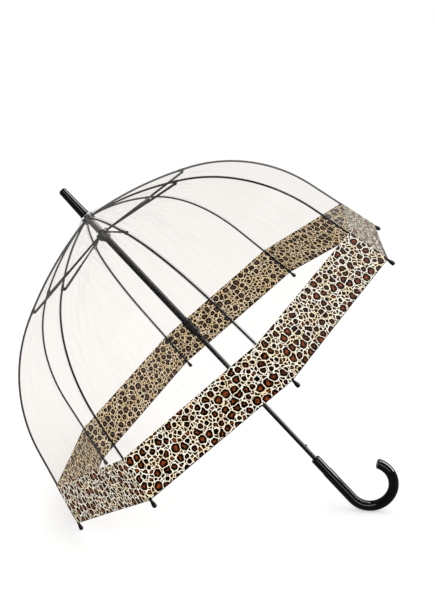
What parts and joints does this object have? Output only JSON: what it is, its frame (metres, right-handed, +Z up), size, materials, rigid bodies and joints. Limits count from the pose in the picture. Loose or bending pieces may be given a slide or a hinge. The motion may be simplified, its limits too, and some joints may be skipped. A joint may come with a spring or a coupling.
{
  "type": "bubble umbrella",
  "caption": "Open dome umbrella of clear film with a leopard-print border on a ribbed folding frame, with a sliding runner, a slim shaft and a J-hook handle, lying on its side.",
  "frame": {"origin": "bottom centre of the lying umbrella: z = 0 is the surface under its two lowest rib tips and its hook", "axes": "+Z up; +X from the ferrule end of the umbrella towards the hook; Y across the open dome"},
  "size_m": [0.7814, 0.8218, 0.7165],
  "materials": {
    "clear_pvc_film": "clear soft film with a faint warm cast",
    "printed_pvc_film": "soft film with a cream, brown and black leopard print",
    "clear_washer": "clear polished",
    "gloss_black_plastic": "polished",
    "matte_black_plastic": "satin moulded",
    "black_fibreglass": "satin rod",
    "black_steel_wire": "satin black",
    "black_steel_tube": "semi-gloss black",
    "plated_steel": "dull plating"
  },
  "bodies": {
    "shaft_frame": {"ferrule": "gloss_black_plastic", "crown_washer": "clear_washer", "top_notch": "plated_steel", "notch_pins": "plated_steel", "shaft": "black_steel_tube", "handle": "gloss_black_plastic"},
    "runner": {"runner_hub": "matte_black_plastic", "runner_pins": "plated_steel", "runner_tube": "matte_black_plastic", "runner_grip": "matte_black_plastic"},
    "top_catch": {"top_catch": "plated_steel"},
    "lower_catch": {"lower_catch": "plated_steel"},
    "upper_1": {"rib_upper_1": "black_fibreglass", "gore_upper_1": "clear_pvc_film"},
    "lower_1": {"rib_lower_1": "black_fibreglass", "gore_lower_1": "clear_pvc_film", "border_1": "printed_pvc_film"},
    "stretcher_1": {"stretcher_1": "black_steel_wire"},
    "upper_2": {"rib_upper_2": "black_fibreglass", "gore_upper_2": "clear_pvc_film"},
    "lower_2": {"rib_lower_2": "black_fibreglass", "gore_lower_2": "clear_pvc_film", "border_2": "printed_pvc_film"},
    "stretcher_2": {"stretcher_2": "black_steel_wire"},
    "upper_3": {"rib_upper_3": "black_fibreglass", "gore_upper_3": "clear_pvc_film"},
    "lower_3": {"rib_lower_3": "black_fibreglass", "gore_lower_3": "clear_pvc_film", "border_3": "printed_pvc_film"},
    "stretcher_3": {"stretcher_3": "black_steel_wire"},
    "upper_4": {"rib_upper_4": "black_fibreglass", "gore_upper_4": "clear_pvc_film"},
    "lower_4": {"rib_lower_4": "black_fibreglass", "gore_lower_4": "clear_pvc_film", "border_4": "printed_pvc_film"},
    "stretcher_4": {"stretcher_4": "black_steel_wire"},
    "upper_5": {"rib_upper_5": "black_fibreglass", "gore_upper_5": "clear_pvc_film"},
    "lower_5": {"rib_lower_5": "black_fibreglass", "gore_lower_5": "clear_pvc_film", "border_5": "printed_pvc_film"},
    "stretcher_5": {"stretcher_5": "black_steel_wire"},
    "upper_6": {"rib_upper_6": "black_fibreglass", "gore_upper_6": "clear_pvc_film"},
    "lower_6": {"rib_lower_6": "black_fibreglass", "gore_lower_6": "clear_pvc_film", "border_6": "printed_pvc_film"},
    "stretcher_6": {"stretcher_6": "black_steel_wire"},
    "upper_7": {"rib_upper_7": "black_fibreglass", "gore_upper_7": "clear_pvc_film"},
    "lower_7": {"rib_lower_7": "black_fibreglass", "gore_lower_7": "clear_pvc_film", "border_7": "printed_pvc_film"},
    "stretcher_7": {"stretcher_7": "black_steel_wire"},
    "upper_8": {"rib_upper_8": "black_fibreglass", "gore_upper_8": "clear_pvc_film"},
    "lower_8": {"rib_lower_8": "black_fibreglass", "gore_lower_8": "clear_pvc_film", "border_8": "printed_pvc_film"},
    "stretcher_8": {"stretcher_8": "black_steel_wire"}
  },
  "joints": [
    {"name": "runner_slide", "type": "slide", "parent": "shaft_frame", "child": "runner", "axis": [0.7017, 0, -0.7124], "range_m": [0, 0.355]},
    {"name": "rib_hinge_1", "type": "hinge", "parent": "shaft_frame", "child": "upper_1", "pos_m": [-0.26466, 0.00383, 0.60764], "axis": [-0.2726, 0.9239, -0.2685], "range_deg": [0, 62.71], "deforming": ["gore_upper_1"]},
    {"name": "flex_hinge_1", "type": "hinge", "parent": "upper_1", "child": "lower_1", "pos_m": [0.04632, 0.12562, 0.71094], "axis": [0.2726, -0.9239, 0.2685], "range_deg": [0, 40.01], "deforming": ["gore_lower_1", "border_1"]},
    {"name": "stretcher_hinge_1", "type": "hinge", "parent": "runner", "child": "stretcher_1", "pos_m": [-0.23513, 0.00884, 0.57778], "axis": [0.2726, -0.9239, 0.2685], "range_deg": [0, 86.53]},
    {"name": "rib_hinge_2", "type": "hinge", "parent": "shaft_frame", "child": "upper_2", "pos_m": [-0.26852, 0.00924, 0.60384], "axis": [-0.6582, 0.3827, -0.6483], "range_deg": [0, 62.71], "deforming": ["gore_upper_2"]},
    {"name": "flex_hinge_2", "type": "hinge", "parent": "upper_2", "child": "lower_2", "pos_m": [-0.08025, 0.30328, 0.58627], "axis": [0.6582, -0.3827, 0.6483], "range_deg": [0, 40.01], "deforming": ["gore_lower_2", "border_2"]},
    {"name": "stretcher_hinge_2", "type": "hinge", "parent": "runner", "child": "stretcher_2", "pos_m": [-0.24152, 0.01285, 0.57147], "axis": [0.6582, -0.3827, 0.6483], "range_deg": [0, 86.53]},
    {"name": "rib_hinge_3", "type": "hinge", "parent": "shaft_frame", "child": "upper_3", "pos_m": [-0.27397, 0.00924, 0.59847], "axis": [-0.6582, -0.3827, -0.6483], "range_deg": [0, 62.71], "deforming": ["gore_upper_3"]},
    {"name": "flex_hinge_3", "type": "hinge", "parent": "upper_3", "child": "lower_3", "pos_m": [-0.25925, 0.30328, 0.40996], "axis": [0.6582, 0.3827, 0.6483], "range_deg": [0, 40.01], "deforming": ["gore_lower_3", "border_3"]},
    {"name": "stretcher_hinge_3", "type": "hinge", "parent": "runner", "child": "stretcher_3", "pos_m": [-0.24807, 0.00933, 0.56503], "axis": [0.6582, 0.3827, 0.6483], "range_deg": [0, 86.53]},
    {"name": "rib_hinge_4", "type": "hinge", "parent": "shaft_frame", "child": "upper_4", "pos_m": [-0.27782, 0.00383, 0.59467], "axis": [-0.2726, -0.9239, -0.2685], "range_deg": [0, 62.71], "deforming": ["gore_upper_4"]},
    {"name": "flex_hinge_4", "type": "hinge", "parent": "upper_4", "child": "lower_4", "pos_m": [-0.38581, 0.12562, 0.28529], "axis": [0.2726, 0.9239, 0.2685], "range_deg": [0, 40.01], "deforming": ["gore_lower_4", "border_4"]},
    {"name": "stretcher_hinge_4", "type": "hinge", "parent": "runner", "child": "stretcher_4", "pos_m": [-0.25092, 0.00034, 0.56222], "axis": [0.2726, 0.9239, 0.2685], "range_deg": [0, 86.53]},
    {"name": "rib_hinge_5", "type": "hinge", "parent": "shaft_frame", "child": "upper_5", "pos_m": [-0.27782, -0.00383, 0.59467], "axis": [0.2726, -0.9239, 0.2685], "range_deg": [0, 62.71], "deforming": ["gore_upper_5"]},
    {"name": "flex_hinge_5", "type": "hinge", "parent": "upper_5", "child": "lower_5", "pos_m": [-0.38581, -0.12562, 0.28529], "axis": [-0.2726, 0.9239, -0.2685], "range_deg": [0, 40.01], "deforming": ["gore_lower_5", "border_5"]},
    {"name": "stretcher_hinge_5", "type": "hinge", "parent": "runner", "child": "stretcher_5", "pos_m": [-0.24841, -0.00884, 0.56469], "axis": [-0.2726, 0.9239, -0.2685], "range_deg": [0, 86.53]},
    {"name": "rib_hinge_6", "type": "hinge", "parent": "shaft_frame", "child": "upper_6", "pos_m": [-0.27397, -0.00924, 0.59847], "axis": [0.6582, -0.3827, 0.6483], "range_deg": [0, 62.71], "deforming": ["gore_upper_6"]},
    {"name": "flex_hinge_6", "type": "hinge", "parent": "upper_6", "child": "lower_6", "pos_m": [-0.25925, -0.30328, 0.40996], "axis": [-0.6582, 0.3827, -0.6483], "range_deg": [0, 40.01], "deforming": ["gore_lower_6", "border_6"]},
    {"name": "stretcher_hinge_6", "type": "hinge", "parent": "runner", "child": "stretcher_6", "pos_m": [-0.24201, -0.01285, 0.57099], "axis": [-0.6582, 0.3827, -0.6483], "range_deg": [0, 86.53]},
    {"name": "rib_hinge_7", "type": "hinge", "parent": "shaft_frame", "child": "upper_7", "pos_m": [-0.26852, -0.00924, 0.60384], "axis": [0.6582, 0.3827, 0.6483], "range_deg": [0, 62.71], "deforming": ["gore_upper_7"]},
    {"name": "flex_hinge_7", "type": "hinge", "parent": "upper_7", "child": "lower_7", "pos_m": [-0.08025, -0.30328, 0.58627], "axis": [-0.6582, -0.3827, -0.6483], "range_deg": [0, 40.01], "deforming": ["gore_lower_7", "border_7"]},
    {"name": "stretcher_hinge_7", "type": "hinge", "parent": "runner", "child": "stretcher_7", "pos_m": [-0.23547, -0.00933, 0.57744], "axis": [-0.6582, -0.3827, -0.6483], "range_deg": [0, 86.53]},
    {"name": "rib_hinge_8", "type": "hinge", "parent": "shaft_frame", "child": "upper_8", "pos_m": [-0.26466, -0.00383, 0.60764], "axis": [0.2726, 0.9239, 0.2685], "range_deg": [0, 62.71], "deforming": ["gore_upper_8"]},
    {"name": "flex_hinge_8", "type": "hinge", "parent": "upper_8", "child": "lower_8", "pos_m": [0.04632, -0.12562, 0.71094], "axis": [-0.2726, -0.9239, -0.2685], "range_deg": [0, 40.01], "deforming": ["gore_lower_8", "border_8"]},
    {"name": "stretcher_hinge_8", "type": "hinge", "parent": "runner", "child": "stretcher_8", "pos_m": [-0.23262, -0.00034, 0.58025], "axis": [-0.2726, -0.9239, -0.2685], "range_deg": [0, 86.53]},
    {"name": "top_catch_hinge", "type": "hinge", "parent": "shaft_frame", "child": "top_catch", "pos_m": [-0.06448, 0, 0.39495], "axis": [0, 1, 0], "range_deg": [0, 2], "stiffness_Nm_per_rad": 0.3},
    {"name": "lower_catch_hinge", "type": "hinge", "parent": "shaft_frame", "child": "lower_catch", "pos_m": [0.17973, 0, 0.14703], "axis": [0, 1, 0], "range_deg": [0, 8], "stiffness_Nm_per_rad": 0.3}
  ],
  "couplings": [
    {"joint": "rib_hinge_1", "follows": "runner_slide", "rad_per_m": 3.0826},
    {"joint": "flex_hinge_1", "follows": "runner_slide", "rad_per_m": 1.9666},
    {"joint": "stretcher_hinge_1", "follows": "runner_slide", "rad_per_m": 4.2537},
    {"joint": "rib_hinge_2", "follows": "runner_slide", "rad_per_m": 3.0826},
    {"joint": "flex_hinge_2", "follows": "runner_slide", "rad_per_m": 1.9666},
    {"joint": "stretcher_hinge_2", "follows": "runner_slide", "rad_per_m": 4.2537},
    {"joint": "rib_hinge_3", "follows": "runner_slide", "rad_per_m": 3.0826},
    {"joint": "flex_hinge_3", "follows": "runner_slide", "rad_per_m": 1.9666},
    {"joint": "stretcher_hinge_3", "follows": "runner_slide", "rad_per_m": 4.2537},
    {"joint": "rib_hinge_4", "follows": "runner_slide", "rad_per_m": 3.0826},
    {"joint": "flex_hinge_4", "follows": "runner_slide", "rad_per_m": 1.9666},
    {"joint": "stretcher_hinge_4", "follows": "runner_slide", "rad_per_m": 4.2537},
    {"joint": "rib_hinge_5", "follows": "runner_slide", "rad_per_m": 3.0826},
    {"joint": "flex_hinge_5", "follows": "runner_slide", "rad_per_m": 1.9666},
    {"joint": "stretcher_hinge_5", "follows": "runner_slide", "rad_per_m": 4.2537},
    {"joint": "rib_hinge_6", "follows": "runner_slide", "rad_per_m": 3.0826},
    {"joint": "flex_hinge_6", "follows": "runner_slide", "rad_per_m": 1.9666},
    {"joint": "stretcher_hinge_6", "follows": "runner_slide", "rad_per_m": 4.2537},
    {"joint": "rib_hinge_7", "follows": "runner_slide", "rad_per_m": 3.0826},
    {"joint": "flex_hinge_7", "follows": "runner_slide", "rad_per_m": 1.9666},
    {"joint": "stretcher_hinge_7", "follows": "runner_slide", "rad_per_m": 4.2537},
    {"joint": "rib_hinge_8", "follows": "runner_slide", "rad_per_m": 3.0826},
    {"joint": "flex_hinge_8", "follows": "runner_slide", "rad_per_m": 1.9666},
    {"joint": "stretcher_hinge_8", "follows": "runner_slide", "rad_per_m": 4.2537}
  ]
}
